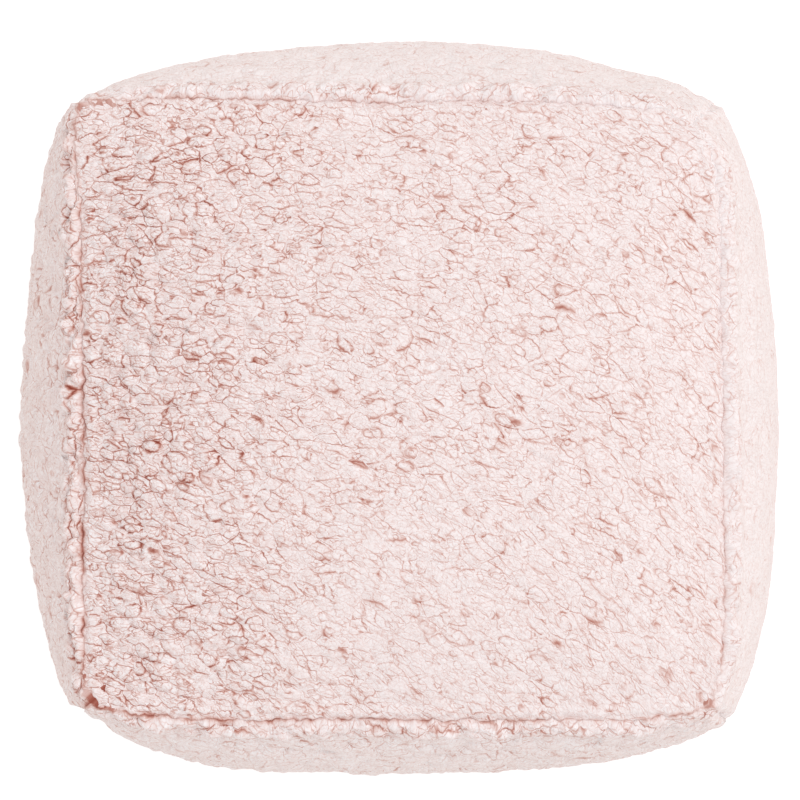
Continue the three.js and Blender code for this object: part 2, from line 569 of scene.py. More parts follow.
@dataclass
class Cage:
    """The cover as cloth: a coarse welded cage of the six panels, blown up by pressure."""

    form: PoufForm
    facets: int = 22
    shrink: float = 0.007
    pressure: float = 4.0
    last_frame: int = 20
    longest_move: float = 0.016
    keep: float = 0.2
    moves: dict[str, Array] = field(default_factory=dict)

    def grids(self) -> dict[str, Array]:
        """The panels' coarse grids by node, with rows and columns as in the fine ones."""
        stations = np.linspace(0, 1, self.facets + 1)
        s, t = np.meshgrid(stations, stations)
        grids = {side.node: self.form.side_point(side, s, t) for side in Side}
        return grids | {"top_panel": self.form.top_point(s, t), "base_panel": self.form.base_point(s, t)}

    def settle(self) -> None:
        """Runs the cloth and keeps how far each coarse point moved beyond the plain swelling.

        The cage starts smaller by the shrink, along the pile's direction. Its moves are capped, the median
        outward move is taken off, and the rest is kept by the keep share.
        """
        grids = self.grids()
        points = np.concatenate([grid.reshape(-1, 3) for grid in grids.values()])
        welded, index = np.unique(np.round(points, 6), axis=0, return_inverse=True)
        cells = dict(zip(grids, index.reshape(len(grids), self.facets + 1, self.facets + 1)))
        faces = {node: quads_of(cell) for node, cell in cells.items()}
        faces["base_panel"] = faces["base_panel"][:, ::-1]
        outwards = self.form.pile_direction(welded)
        moved = self._blown_up(welded - outwards * self.shrink, np.concatenate(list(faces.values())))
        length = np.linalg.norm(moved, axis=-1, keepdims=True)
        moved = moved * np.minimum(1, self.longest_move / np.maximum(length, 1e-9))
        outward_move = (moved * outwards).sum(-1)
        LOG.info("cloth moved outwards by %.1f to %.1f mm", outward_move.min() / MM, outward_move.max() / MM)
        rest = (moved - outwards * np.median(outward_move)) * self.keep
        self.moves = {node: rest[cell] for node, cell in cells.items()}

    def _blown_up(self, start: Array, faces: Array) -> Array:
        """Puts Blender's Cloth on the cage, with pressure and no gravity, and steps it through its frames.

        Args:
            start: The cage's points.
            faces: Its faces, as rows of four.

        Returns:
            How far each point moved.
        """
        mesh = bpy.data.meshes.new("cover_cloth")
        mesh.from_pydata(start.tolist(), [], faces.tolist())
        cover = linked("cover_cloth", mesh)
        cloth = cover.modifiers.new("cloth", "CLOTH")
        cloth.settings.quality = 6
        cloth.settings.mass = 0.3
        cloth.settings.tension_stiffness = 20
        cloth.settings.compression_stiffness = 20
        cloth.settings.bending_stiffness = 1.0
        cloth.settings.use_pressure = True
        cloth.settings.uniform_pressure_force = self.pressure
        cloth.settings.effector_weights.gravity = 0
        cloth.point_cache.frame_end = self.last_frame
        for number in range(1, self.last_frame + 1):
            bpy.context.scene.frame_set(number)
        settled = cover.evaluated_get(bpy.context.evaluated_depsgraph_get()).to_mesh()
        flat = np.zeros(start.size, np.float32)
        settled.vertices.foreach_get("co", flat)
        bpy.data.objects.remove(cover)
        bpy.data.meshes.remove(mesh)
        return flat.reshape(-1, 3).astype(float) - start

    def move_at(self, node: str, along: Array, up: Array) -> Array:
        """How far the cloth moved, over a panel's fine grid.

        The coarse moves are carried over by Catmull-Rom weights along the rows and up the columns.

        Args:
            node: The panel's node.
            along: Stations of the fine grid's columns.
            up: Stations of its rows.

        Returns:
            Moves of shape (rows, columns, 3).
        """
        return np.einsum("ri,ijk,cj->rck", self._weights(up), self.moves[node], self._weights(along))

    def _weights(self, stations: Array) -> Array:
        """Catmull-Rom weights: the cubic of the distance in coarse steps, with a slope of -1/2 at one step.

        Args:
            stations: The fine stations.

        Returns:
            A row of weights of the coarse stations for each fine one.
        """
        apart = np.abs(stations[:, None] * self.facets - np.arange(self.facets + 1))
        near = 1.5 * apart**3 - 2.5 * apart**2 + 1
        far = -0.5 * apart**3 + 2.5 * apart**2 - 4 * apart + 2
        weights = np.where(apart < 1, near, np.where(apart < 2, far, 0))
        return weights / weights.sum(1, keepdims=True)


@dataclass(frozen=True)
class Fullness:
    """A place where the filling pushes the cover out a little, or lets it fall in, in millimetres."""

    x: float
    y: float
    move_x: float
    move_y: float
    radius: float

    def move_at(self, points: Array) -> Array:
        """Level moves of the points: the full move times exp(-(distance in plan / radius) ** 2)."""
        apart = np.linalg.norm(points[..., :2] - MM * np.array([self.x, self.y]), axis=-1)
        return bell(apart, MM * self.radius)[..., None] * (MM * np.array([self.move_x, self.move_y, 0.0]))


FULLNESS = (
    Fullness(-210, 172, -6.4, 2.6, 36),
    Fullness(-217, 120, -1.8, 0.0, 36),
    Fullness(-160, 200, 0.0, 2.8, 34),
    Fullness(-106, 214, 0.0, 2.2, 50),
    Fullness(130, 203, 0.0, -3.2, 28),
    Fullness(193, 182, 1.4, 1.4, 26),
    Fullness(216, 130, 2.4, 0.0, 40),
    Fullness(218, -125, 2.2, 0.0, 55),
    Fullness(204, -178, 1.0, -1.1, 26),
    Fullness(125, -210, 0.0, -2.0, 60),
    Fullness(-106, -219, 0.0, -3.6, 45),
    Fullness(-186, -192, 3.0, 3.5, 14),
    Fullness(-206, -172, -1.4, -1.0, 20),
    Fullness(-220, -124, 1.0, 0.0, 40),
    Fullness(-189, 181, 3.2, -2.2, 10),
    Fullness(189, -181, -2.5, 2.5, 10),
    Fullness(178, 184, 0.0, -3.0, 9),
    Fullness(-183, -180, 0.8, 0.8, 9),
)


@dataclass(frozen=True)
class SeamFold:
    """How the pile rounds off into the groove of a seam, and how much painted shade the groove gets.

    All its noises lie in space, so both panels of a seam get the same values.
    """

    form: PoufForm
    depth: float = 0.2 * MM
    lift: float = 1.2 * MM
    width: float = 2.6 * MM
    sway: float = 1.2 * MM
    scallop: float = 2.6 * MM
    sway_reach: float = 7 * MM
    top_from: float = 0.33
    top_full: float = 0.365
    lit_across: float = 4.0
    lit_deep: float = 2.4

    def at_top(self, points: Array) -> Array:
        """Share of the top seam in a place: 1 beside it, 0 beside the other seams."""
        return ease(self.top_from, self.top_full, points[..., 2])

    def sway_at(self, surface: Surface) -> Array:
        """Sideways moves that make a seam wander, the same on both of its panels.

        Each axis has its own noise, which moves the top seam by the sway and the others by 2.2 times as
        much. At the top seam the curls bulge out over it as well, by scallop * (0.45 - |noise|) along the
        level part of the pile's direction. All fade as exp(-distance / reach).

        Args:
            surface: The measured face.

        Returns:
            Moves of shape (..., 3).
        """
        points = surface.points
        top = self.at_top(points)
        noises = [SpaceNoise(70 + axis, self.sway_reach).at(points, 3) for axis in range(3)]
        moves = self.sway * (2.2 - 1.2 * top[..., None]) * np.stack(noises, -1)
        out = unit(self.form.pile_direction(points) * np.array([1, 1, 0]))
        bulge = 0.45 - np.abs(SpaceNoise(74, 8 * MM).at(points, 2))
        moves = moves + (self.scallop * top * bulge)[..., None] * out
        return moves * np.exp(-surface.to_seam / self.sway_reach)[..., None]

    def open_at(self, surface: Surface) -> Array:
        """How far the pile stands free of the seam: sin(pi / 2 * distance / width), of an uneven width."""
        width = self.width * np.maximum(0.6, 1 + 0.6 * SpaceNoise(80, 6 * MM).at(surface.points, 2))
        return np.sin(np.pi / 2 * np.clip(surface.to_seam / width, 0, 1))

    def drawn_in(self, points: Array) -> Array:
        """Moves of the seams: the top one up by the lift, the others in against the pile by the depth."""
        top = self.at_top(points)[..., None]
        inwards = -self.form.pile_direction(points)
        return self.depth * (1 - top) * inwards + self.lift * top * np.array([0, 0, 1.0])

    def shade_at(self, points: Array) -> Array:
        """Depth of the painted shade in a seam's groove: deeper at the left and the front, away from the
        light, in spots, and at the top seam.
        """
        lit = 1.0 - self.lit_across * points[..., 0] - self.lit_deep * points[..., 1]
        spots = ease(-0.5, 0.9, SpaceNoise(81, 9 * MM).at(points, 2))
        return lit * (0.25 + 1.5 * spots) * (0.3 + 0.7 * self.at_top(points))


def operator(operation: str) -> Callable[..., "Wire"]:
    """A method that joins a wire and any other values in a Math node."""
    return lambda wire, *others: wire.bench.math(operation, wire, *others)


class Wire:
    """A number or vector in a shader tree, on which arithmetic adds Math or Vector Math nodes."""

    def __init__(self, bench: "NodeBench", socket: Socket) -> None:
        """Holds an output socket."""
        self.bench = bench
        self.socket = socket

    __add__ = operator("ADD")
    __sub__ = operator("SUBTRACT")
    __mul__ = operator("MULTIPLY")
    __truediv__ = operator("DIVIDE")
    at_least = operator("MAXIMUM")
    at_most = operator("MINIMUM")
    exp = operator("EXPONENT")

    def __rsub__(self, other: float) -> "Wire":
        """The difference from a number."""
        return self.bench.math("SUBTRACT", other, self)


class NodeBench:
    """Short ways to add and join shader nodes in one tree."""

    def __init__(self, tree: bpy.types.NodeTree) -> None:
        """Works in the given tree."""
        self.tree = tree

    def add(self, kind: str, **settings: object) -> bpy.types.Node:
        """Adds a node and sets its properties."""
        node = self.tree.nodes.new(kind)
        for name, value in settings.items():
            setattr(node, name, value)
        return node

    def feed(self, socket: Socket, value: object) -> None:
        """Links a socket to a wire, or sets its own value."""
        if isinstance(value, Wire):
            self.tree.links.new(value.socket, socket)
        else:
            socket.default_value = value

    def wired(self, node: bpy.types.Node, inputs: dict[str, object] | None = None) -> dict[str, Wire]:
        """Feeds a node's named inputs, and gives its outputs as wires by name."""
        for name, value in (inputs or {}).items():
            self.feed(node.inputs[name], value)
        return {output.name: Wire(self, output) for output in node.outputs}

    def math(self, operation: str, *values: object) -> Wire:
        """Result of a Math node, or of a Vector Math node where the first value is a vector or a colour.

        Args:
            operation: Name of the node's operation.
            values: Wires, numbers or vectors for its inputs, in their order.

        Returns:
            The node's first output.
        """
        first = values[0]
        vector = isinstance(first, Wire) and first.socket.type in ("VECTOR", "RGBA")
        node = self.add("ShaderNodeVectorMath" if vector else "ShaderNodeMath", operation=operation)
        for socket, value in zip(node.inputs, values):
            self.feed(socket, value)
        return Wire(self, node.outputs[0])

    def combine(self, x: object, y: object, z: object) -> Wire:
        """A vector from three wires or numbers."""
        return self.wired(self.add("ShaderNodeCombineXYZ"), {"X": x, "Y": y, "Z": z})["Vector"]

    def split(self, vector: Wire) -> tuple[Wire, ...]:
        """The parts x, y and z of a vector."""
        return tuple(self.wired(self.add("ShaderNodeSeparateXYZ"), {"Vector": vector}).values())

    def attribute(self, name: str) -> Wire:
        """A vector attribute of the mesh."""
        return self.wired(self.add("ShaderNodeAttribute", attribute_name=name))["Vector"]

    def cells(self, place: Wire) -> dict[str, Wire]:
        """Outputs of a two-dimensional Voronoi texture of the same cells as the mesh's."""
        node = self.add("ShaderNodeTexVoronoi", voronoi_dimensions="2D", feature="F1")
        return self.wired(node, {"Vector": place, "Scale": 1.0, "Randomness": CurlCells.RANDOMNESS})

    def noise(self, vector: Wire, size: float, detail: float = 1.0) -> dict[str, Wire]:
        """Outputs Fac and Color of a two-dimensional noise texture, from about 0 to 1."""
        node = self.add("ShaderNodeTexNoise", noise_dimensions="2D")
        return self.wired(node, {"Vector": vector, "Scale": 1 / size, "Detail": detail})

    def mix(self, share: object, first: object, second: object) -> Wire:
        """Mixes two colours.

        Args:
            share: Share of the second colour, held between 0 and 1.
            first: A wire or a colour.
            second: Another.

        Returns:
            The mixed colour.
        """
        node = self.add("ShaderNodeMix", data_type="RGBA")
        for name, value in (("Factor_Float", share), ("A_Color", first), ("B_Color", second)):
            self.feed(next(s for s in node.inputs if s.identifier == name), value)
        return Wire(self, next(s for s in node.outputs if s.identifier == "Result_Color"))


def new_material(name: str) -> tuple[bpy.types.Material, NodeBench, bpy.types.Node]:
    """A new material with nodes, its bench and its shader."""
    material = bpy.data.materials.new(name)
    material.use_nodes = True
    return material, NodeBench(material.node_tree), material.node_tree.nodes["Principled BSDF"]


@dataclass(frozen=True)
class TuftMarks:
    """Shader group that paints the shade and highlights of the tufts of one size, as TuftShape has them.

    Its input Place holds the cell coordinates in x and y and the partings' strength in z, and Ragged moves
    it, in millimetres as Pitch is. With t the height of the tuft that shows, g its height above the next one,
    h = level - t the hollow's depth, held between 0 and the deepest, a the way from the tuft's middle, from
    0 along the grain to 1 across it, and w the Line Width, its outputs are the strength times:
    Line, painted shade along the partings: exp(-g / w) * (h + line_base) * (way_base + way_gain * a);
    Rim Highlight, a painted highlight beside the partings:
    exp(-g / (rim_width * w)) * (1 - exp(-g / w)) * (h + rim_base);
    Hollow Shade, painted shade in the hollows: sqrt(strength) * h.
    """

    deepest: float = 0.5
    line_base: float = 0.12
    way_base: float = 0.35
    way_gain: float = 0.8
    rim_width: float = 3.5
    rim_base: float = 0.3
    middle: float = 0.05
    slack: float = 1e-5

    def _tree(self) -> bpy.types.NodeTree:
        """The group's tree, with its sockets."""
        tree = bpy.data.node_groups.new("fleece tufts", "ShaderNodeTree")
        sockets = {"Vector": ("Place", "Ragged"), "Float": ("Pitch", "Line Width")}
        for kind, names in sockets.items():
            for name in names:
                tree.interface.new_socket(name, in_out="INPUT", socket_type=f"NodeSocket{kind}")
        for name in ("Line", "Rim", "Hollow"):
            tree.interface.new_socket(name, in_out="OUTPUT", socket_type="NodeSocketFloat")
        return tree

    def _tuft(self, bench: NodeBench, x: Wire, y: Wire, turn: int) -> tuple[Wire, Wire]:
        """One set of tufts.

        Args:
            bench: The group's bench.
            x: Place along the grain, in cells.
            y: Place across it.
            turn: Index of the set.

        Returns:
            The tuft's height, and the way from its middle.
        """
        spot = bench.combine(*TuftShape.place(turn, x, y), 0.0)
        tuft = bench.cells(spot)
        inside = bench.split(bench.math("FRACTION", tuft["Position"]))
        number = bench.math("FRACT", (inside[0] + inside[1]) / CurlCells.RANDOMNESS)
        away = bench.split(spot - tuft["Position"])
        cos, sin = np.cos(TuftShape.TURN * turn), np.sin(TuftShape.TURN * turn)
        way = (away[1] * cos + away[0] * sin) / tuft["Distance"].at_least(self.middle)
        return TuftShape.height(turn, tuft["Distance"], number), way * way

    def build(self) -> bpy.types.NodeTree:
        """The shader group."""
        tree = self._tree()
        bench = NodeBench(tree)
        given = bench.wired(bench.add("NodeGroupInput"))
        pitch = given["Pitch"]
        x, y, _ = bench.split(given["Place"] + given["Ragged"] / bench.combine(pitch, pitch, 1.0))
        tufts = [self._tuft(bench, x, y, turn) for turn in range(len(TuftShape.RADII))]
        first, second, third = (height for height, _ in tufts)
        high = first.at_least(second)
        top = high.at_least(third)
        below = first.at_most(second).at_least(high.at_most(third))
        ways = [bench.math("GREATER_THAN", height, top - self.slack) * way for height, way in tufts]
        way = ways[0].at_least(ways[1]).at_least(ways[2])
        strength = bench.split(given["Place"])[2]
        gap = (below - top) / given["Line Width"]
        hollow = (TuftShape.LEVEL - top).at_least(0.0).at_most(self.deepest)
        on_edge = gap.exp()
        # Painted shade along the partings and in the hollows, and a painted highlight on the rims beside the
        # partings.
        marks = {
            "Line": on_edge * (hollow + self.line_base) * (way * self.way_gain + self.way_base),
            "Rim": (gap / self.rim_width).exp() * (1.0 - on_edge) * (hollow + self.rim_base),
            "Hollow": hollow * bench.math("SQRT", strength),
        }
        bench.wired(bench.add("NodeGroupOutput"), {name: mark * strength for name, mark in marks.items()})
        return tree


@dataclass(frozen=True)
class TuftLook:
    """How one layer's tufts show in the finish: their size in millimetres, and the weights of its painted
    shade along the lines and in the hollows, and of its painted highlight on the rims.

    A layer finer than any on the mesh takes the places of one that is there, and multiplies them.
    """

    name: str
    pitch: float
    line_width: float
    line: float
    # weight of the painted highlight on the rims beside the partings
    rim: float
    hollow: float
    finer: float = 1.0


@dataclass(frozen=True)
class FleeceFinish:
    """Pale blush fleece: pale tips, painted shade that deepens from pink to brown in the partings, hollows
    and seams, painted highlights beside the partings, and a soft matt sheen.

    Sizes are in millimetres, but loop_height and fuzz_height, the heights of the bump, are in metres.
    """

    tips: tuple[float, ...] = (0.90, 0.82, 0.82, 1)
    shaded_tips: tuple[float, ...] = (0.885, 0.765, 0.75, 1)
    # how fast each channel falls in the painted shade, so that it turns pink and then brown
    absorbed: tuple[float, ...] = (0.43, 0.93, 1.08)
    sheen_tint: tuple[float, ...] = (1.0, 0.9, 0.88, 1)
    roughness: float = 0.95
    specular: float = 0.15
    sheen: float = 0.25
    sheen_roughness: float = 0.5
    fuzz_size: float = 3.0
    fine_size: float = 0.8
    loop_size: float = 3.2
    stroke_size: float = 2.2
    loop_height: float = 0.12 * MM
    fuzz_height: float = 0.12 * MM
    ragged: float = 2.0
    loops: float = 0.16
    loop_width: float = 0.035
    saturation: float = 0.15
    gate_size: float = 1.8
    gate_gain: float = 2.8
    gate_base: float = -0.7
    gate_least: float = 0.3
    gate_most: float = 1.4
    stroke_gain: float = 2.0
    stroke_base: float = 0.1
    tone_gain: float = 3.0
    tone_and_painted_shade_gain: float = 0.3
    tone_base: float = -1.3
    looks: tuple[TuftLook, ...] = (
        TuftLook("clumps", 14.5, 0.040, line=11.0, rim=0.7, hollow=0.20),
        TuftLook("curls", 6.6, 0.075, line=8.0, rim=1.0, hollow=0.38),
        TuftLook("curls", 3.3, 0.160, line=2.2, rim=0.5, hollow=0.25, finer=2.0),
        TuftLook("partings", 32.0, 0.016, line=3.5, rim=0.2, hollow=0.03),
    )

    def _marks(self, bench: NodeBench, flat: Wire, ragged: Wire) -> tuple[Wire, Wire]:
        """Painted shade of all layers' tufts.

        A noise, gate_size times as coarse as the layer, gates its lines, so that some of them stay faint and
        others are stronger. Its place is shifted for each layer.

        Args:
            bench: The material's bench.
            flat: Place on the cloth in millimetres.
            ragged: How far the fuzz moves it.

        Returns:
            The painted shade along the lines, and the painted shade in the hollows less the painted
            highlights on the rims.
        """
        group = TuftMarks().build()
        lines, shades = 0.0, 0.0
        for number, look in enumerate(self.looks):
            gate = bench.noise(flat + (53.1 * number, 17.7, 0.0), self.gate_size * look.pitch, 3.0)["Fac"]
            gate = gate * self.gate_gain + self.gate_base
            gate = gate.at_least(self.gate_least).at_most(self.gate_most)
            spot = bench.attribute(look.name)
            if look.finer > 1:
                spot = spot * (look.finer, look.finer, 1.0)
            inputs = {"Place": spot, "Ragged": ragged, "Pitch": look.pitch, "Line Width": look.line_width}
            marks = bench.wired(bench.add("ShaderNodeGroup", node_tree=group), inputs)
            # Painted shade along the lines and in the hollows, less the painted highlights on the rims.
            lines = marks["Line"] * gate * look.line + lines
            shades = marks["Hollow"] * look.hollow - marks["Rim"] * look.rim + shades
        return lines, shades

    def build(self) -> bpy.types.Material:
        """The fleece material.

        The tufts' lines, as far as the cloth is crisp there, their hollows less their rims, fine loops and
        the seam's groove add up to a depth D of painted shade, which levels off as D / (1 + saturation * D);
        the rims are painted highlights. Each channel of the tips' colour is multiplied by exp(-absorbed * D),
        so that shallow painted shade is pink and deep painted shade brown. The loops lie where a noise
        crosses its middle, and the groove's painted shade fades as exp(-z) of the attribute pile, in strokes
        that run away from the seam. A fine fuzz ruffles the partings, mottles the colour and roughens the
        bump.
        """
        material, bench, shader = new_material("curled fleece")
        cloth = bench.attribute("cloth")
        crisp = bench.split(cloth)[2]
        flat = cloth * (1.0, 1.0, 0.0)
        fine = bench.noise(flat, self.fine_size)["Fac"]
        ruffle = bench.noise(flat, self.fuzz_size, 1.6)["Color"] - (0.5, 0.5, 0.5)
        ragged = ruffle * (self.ragged, self.ragged, 0)
        flow = flat + ragged
        lines, shades = self._marks(bench, flat, ragged)
        off_middle = bench.math("ABSOLUTE", bench.noise(flow, self.loop_size)["Fac"] - 0.5)
        loops = (off_middle * (-1 / self.loop_width)).exp()
        # pile holds the clumps' random tone with the side's painted shade, the painted shade of the seam's
        # groove, and the distance from the seam in widths of that shade.
        tint, root_shade, seam_shade_distance = bench.split(bench.attribute("pile"))
        strokes = bench.noise(bench.combine(bench.split(flow)[0], seam_shade_distance, 0.0), self.stroke_size, 2.0)["Fac"]
        strokes = strokes * self.stroke_gain + self.stroke_base
        # Painted shade of the seam's groove, fading from the seam in strokes.
        seam_shade = root_shade * (seam_shade_distance * -1.0).exp() * strokes
        # Painted shade: lines, loops and hollows darken where shade falls in the pile, the rims are painted
        # highlights, and the seam's groove gets its painted shade.
        depth = lines * crisp + (loops * self.loops + shades) + seam_shade
        depth = depth / (depth * self.saturation + 1.0).at_least(1.0)
        # Tone of the tips: a fine random mottle and the clumps' random numbers, with each side's painted
        # shade, paler on the sides in full light.
        tone = fine * self.tone_gain + (tint * self.tone_and_painted_shade_gain + self.tone_base)
        tips = bench.mix(tone, self.tips, self.shaded_tips)
        bump = bench.add("ShaderNodeBump")
        height = fine * self.fuzz_height - loops * self.loop_height
        bench.wired(shader, {
            "Base Color": tips * bench.combine(*((depth * -channel).exp() for channel in self.absorbed)),
            "Normal": bench.wired(bump, {"Distance": 1.0, "Height": height})["Normal"],
            "Roughness": self.roughness,
            "Specular IOR Level": self.specular,
            "Sheen Weight": self.sheen,
            "Sheen Roughness": self.sheen_roughness,
            "Sheen Tint": self.sheen_tint,
        })
        return material


@dataclass
class Panel:
    """A sewn panel of fleece: its outer face with pile, closed on the inside towards a hub on the axis.

    Its tint is painted shade that shifts its tips towards the shaded, pinker colour, and
    seam_shade_width is how fast the painted shade of a seam's groove fades from the seam. On a seam, the
    shares seam_calm of the relief and blurred of the partings' crispness are lost.
    """

    form: PoufForm
    cage: Cage
    node: str
    hub_z: float
    nap: Nap
    # Painted shade: above 0 darkens the tips towards the shaded colour, below 0 pales them where the side
    # stands in full light.
    tint: float = 0.0
    seam_shade_width: float = 0.8 * MM
    seam_calm: float = 0.6
    sunk: float = 1.5 * MM
    seam_rise: float = 1.2 * MM
    seam_reach: float = 9 * MM
    billow: float = 0.5 * MM
    floor: float = 0.4 * MM
    floor_fall: float = 5 * MM
    floor_reach: float = 16 * MM
    shared_reach: float = 12 * MM
    blurred: float = 0.85
    blurred_reach: float = 3 * MM
    pit: float = -0.7

    def stations(self) -> tuple[Array, ...]:
        """Stations along the rows and up the columns of the fine grid."""
        raise NotImplementedError

    def plain_points(self, along: Array, up: Array) -> Array:
        """Outer face before cloth and pile."""
        raise NotImplementedError

    def roughness_at(self, surface: Surface) -> Array:
        """How rough the pile is over the panel, about 1 where it is plain."""
        return np.ones_like(surface.to_seam)

    def relief_gain(self, surface: Surface) -> Array:
        """How much higher the curls stand than plainly."""
        return np.ones_like(surface.to_seam)

    def crispness_at(self, surface: Surface) -> Array:
        """How sharply the partings show as lines, from 0 to 1."""
        return np.ones_like(surface.to_seam)

    def pattern_cloth(self, surface: Surface) -> Array:
        """Places on the cloth that the curls follow."""
        return surface.cloth

    def ridge_at(self, surface: Surface) -> Array:
        """Height of the pile that stands up beside the seams."""
        return 1.2 * MM * bell(surface.to_seam - 6 * MM, 4 * MM)

    def finish_points(self, points: Array) -> Array:
        """Last change to the outer points, such as a flat rest."""
        return points

    def strengths(self, surface: Surface) -> dict[str, Array]:
        """How far each layer's partings open over the panel: noises let about half of them close up again.

        Args:
            surface: The measured face.

        Returns:
            A value for each grid point, by layer name.
        """
        cloth, rough = surface.cloth, self.roughness_at(surface)
        spots = self.nap.noise(51, 11 * MM, cloth)
        patches = 0.6 * self.nap.noise(52, 45 * MM, cloth)
        small = ease(-0.5, 0.7, self.nap.noise(53, 8 * MM, cloth) + 0.4 * patches)
        long = ease(0.0, 0.6, self.nap.noise(54, 20 * MM, cloth))
        return {
            "clumps": (0.34 + 0.32 * ease(-0.55, 0.75, spots + 0.35 * patches)) * rough**1.2,
            "curls": (0.25 + 0.25 * small) * rough**0.85,
            "partings": 0.45 * long * rough,
        }

    def _curls(self, surface: Surface, cloth: Array) -> tuple[Array, Array, dict[str, Array]]:
        """All layers' curls: each adds depth * strength times its tufts' height, with its pits cut off.

        Args:
            surface: The measured face.
            cloth: Places on the cloth that the curls follow.

        Returns:
            Their relief in metres, the clumps' random numbers, and each layer's attribute.
        """
        strengths = self.strengths(surface)
        relief, numbers, attributes = 0.0, [], {}
        for layer in self.nap.layers:
            place, strength = self.nap.place(layer, cloth), strengths[layer.name]
            top, number = TuftShape.top(place)
            relief = relief + layer.depth * strength * np.maximum(top, self.pit)
            numbers.append(number)
            attributes[layer.name] = np.concatenate([place, strength[..., None]], -1)
        return relief, numbers[0], attributes

    def _height(self, surface: Surface, cloth: Array, relief: Array) -> Array:
        """Height of the pile: its relief and a soft billow, sunk a little, with the seams' rise and ridge.

        Near a seam the relief fades by seam_calm, and a floor that falls away from the seam cuts off pits,
        which would stretch the first cells of the grid there.

        Args:
            surface: The measured face.
            cloth: Places on the cloth that the curls follow.
            relief: The curls' relief.

        Returns:
            The heights in metres.
        """
        billow = self.nap.noise(61, 32 * MM, cloth) + 0.5 * self.nap.noise(62, 13 * MM, cloth, 1)
        near = bell(surface.to_seam, self.seam_reach)
        relief = relief * self.relief_gain(surface) * (1 - self.seam_calm * near)
        height = relief - self.sunk + self.seam_rise * near + self.billow * billow + self.ridge_at(surface)
        floor = self.floor - self.floor_fall * (1 - bell(surface.to_seam, self.floor_reach))
        return np.maximum(height, floor)

    def build(self, finish: bpy.types.Material) -> None:
        """Raises the pile, makes the mesh and dresses it.

        A point moves from the cloth along the pile's direction by the pile's height, as far as the seam's
        fold is open there. Near a seam that direction is the one that neighbouring panels share. The
        attribute pile holds the clumps' random number with the side's painted shade, the painted shade of the
        seam's groove, and the distance to the seam over the pile in widths of that shade. The attribute cloth
        holds the place in millimetres, and how crisp the partings are.

        Args:
            finish: The fleece material.
        """
        along, up = self.stations()
        base = self.plain_points(*np.meshgrid(along, up)) + self.cage.move_at(self.node, along, up)
        base = base + sum(place.move_at(base) for place in FULLNESS)
        surface, fold = Surface.over(base), SeamFold(self.form)
        cloth = self.pattern_cloth(surface)
        relief, numbers, attributes = self._curls(surface, cloth)
        height = self._height(surface, cloth, relief)[..., None]
        share = np.exp(-surface.to_seam / self.shared_reach)[..., None]
        stand = unit(surface.normals() * (1 - share) + self.form.pile_direction(base) * share)
        free = fold.open_at(surface)[..., None]
        points = base + stand * height * free + fold.drawn_in(base) * (1 - free) + fold.sway_at(surface)
        seam_shade_distance = Surface.over(points).to_seam / self.seam_shade_width
        blurred = self.blurred * np.exp(-surface.to_seam / self.blurred_reach)
        crisp = self.crispness_at(surface) * (1 - blurred)
        # Painted shade in the pile attribute: each side's shift of its tips' tone, and the seam's groove.
        attributes["pile"] = np.stack([numbers + self.tint, fold.shade_at(base), seam_shade_distance], -1)
        attributes["cloth"] = np.concatenate([self.nap.bent(cloth), crisp[..., None]], -1)
        piece = self._piece(self.finish_points(points), attributes)
        piece.data.materials.append(finish)
        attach(piece, "root")
        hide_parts(self.node)
        LOG.info("%s: %d triangles", piece.name, sum(len(p.vertices) - 2 for p in piece.data.polygons))

    def _piece(self, points: Array, attributes: dict[str, Array]) -> bpy.types.Object:
        """Closed mesh of the outer grid and a fan from its rim to the hub.

        Args:
            points: Outer grid, facing out where its rows turn towards its columns.
            attributes: Vectors for each grid point, by name.

        Returns:
            The object, with its place in its mesh.
        """
        name = "fleece_" + self.node.replace("_panel", "")
        index = np.arange(points[..., 0].size).reshape(points.shape[:2])
        quads = quads_of(index)
        rim = np.concatenate([index[0, :-1], index[:-1, -1], index[-1, :0:-1], index[:0:-1, 0]])
        fan = np.stack([np.roll(rim, -1), rim, np.full(len(rim), index.size)], -1)
        mesh = bpy.data.meshes.new(name)
        vertices = [*points.reshape(-1, 3).tolist(), (0, 0, self.hub_z)]
        mesh.from_pydata(vertices, [], quads.tolist() + fan.tolist())
        mesh.polygons.foreach_set("use_smooth", np.arange(len(quads) + len(fan)) < len(quads))
        mesh.validate()
        for attribute, values in attributes.items():
            flat = values.reshape(-1, 3)
            layer = mesh.attributes.new(attribute, "FLOAT_VECTOR", "POINT")
            layer.data.foreach_set("vector", np.concatenate([flat, flat[:1]]).astype(np.float32).ravel())
        return linked(name, mesh)


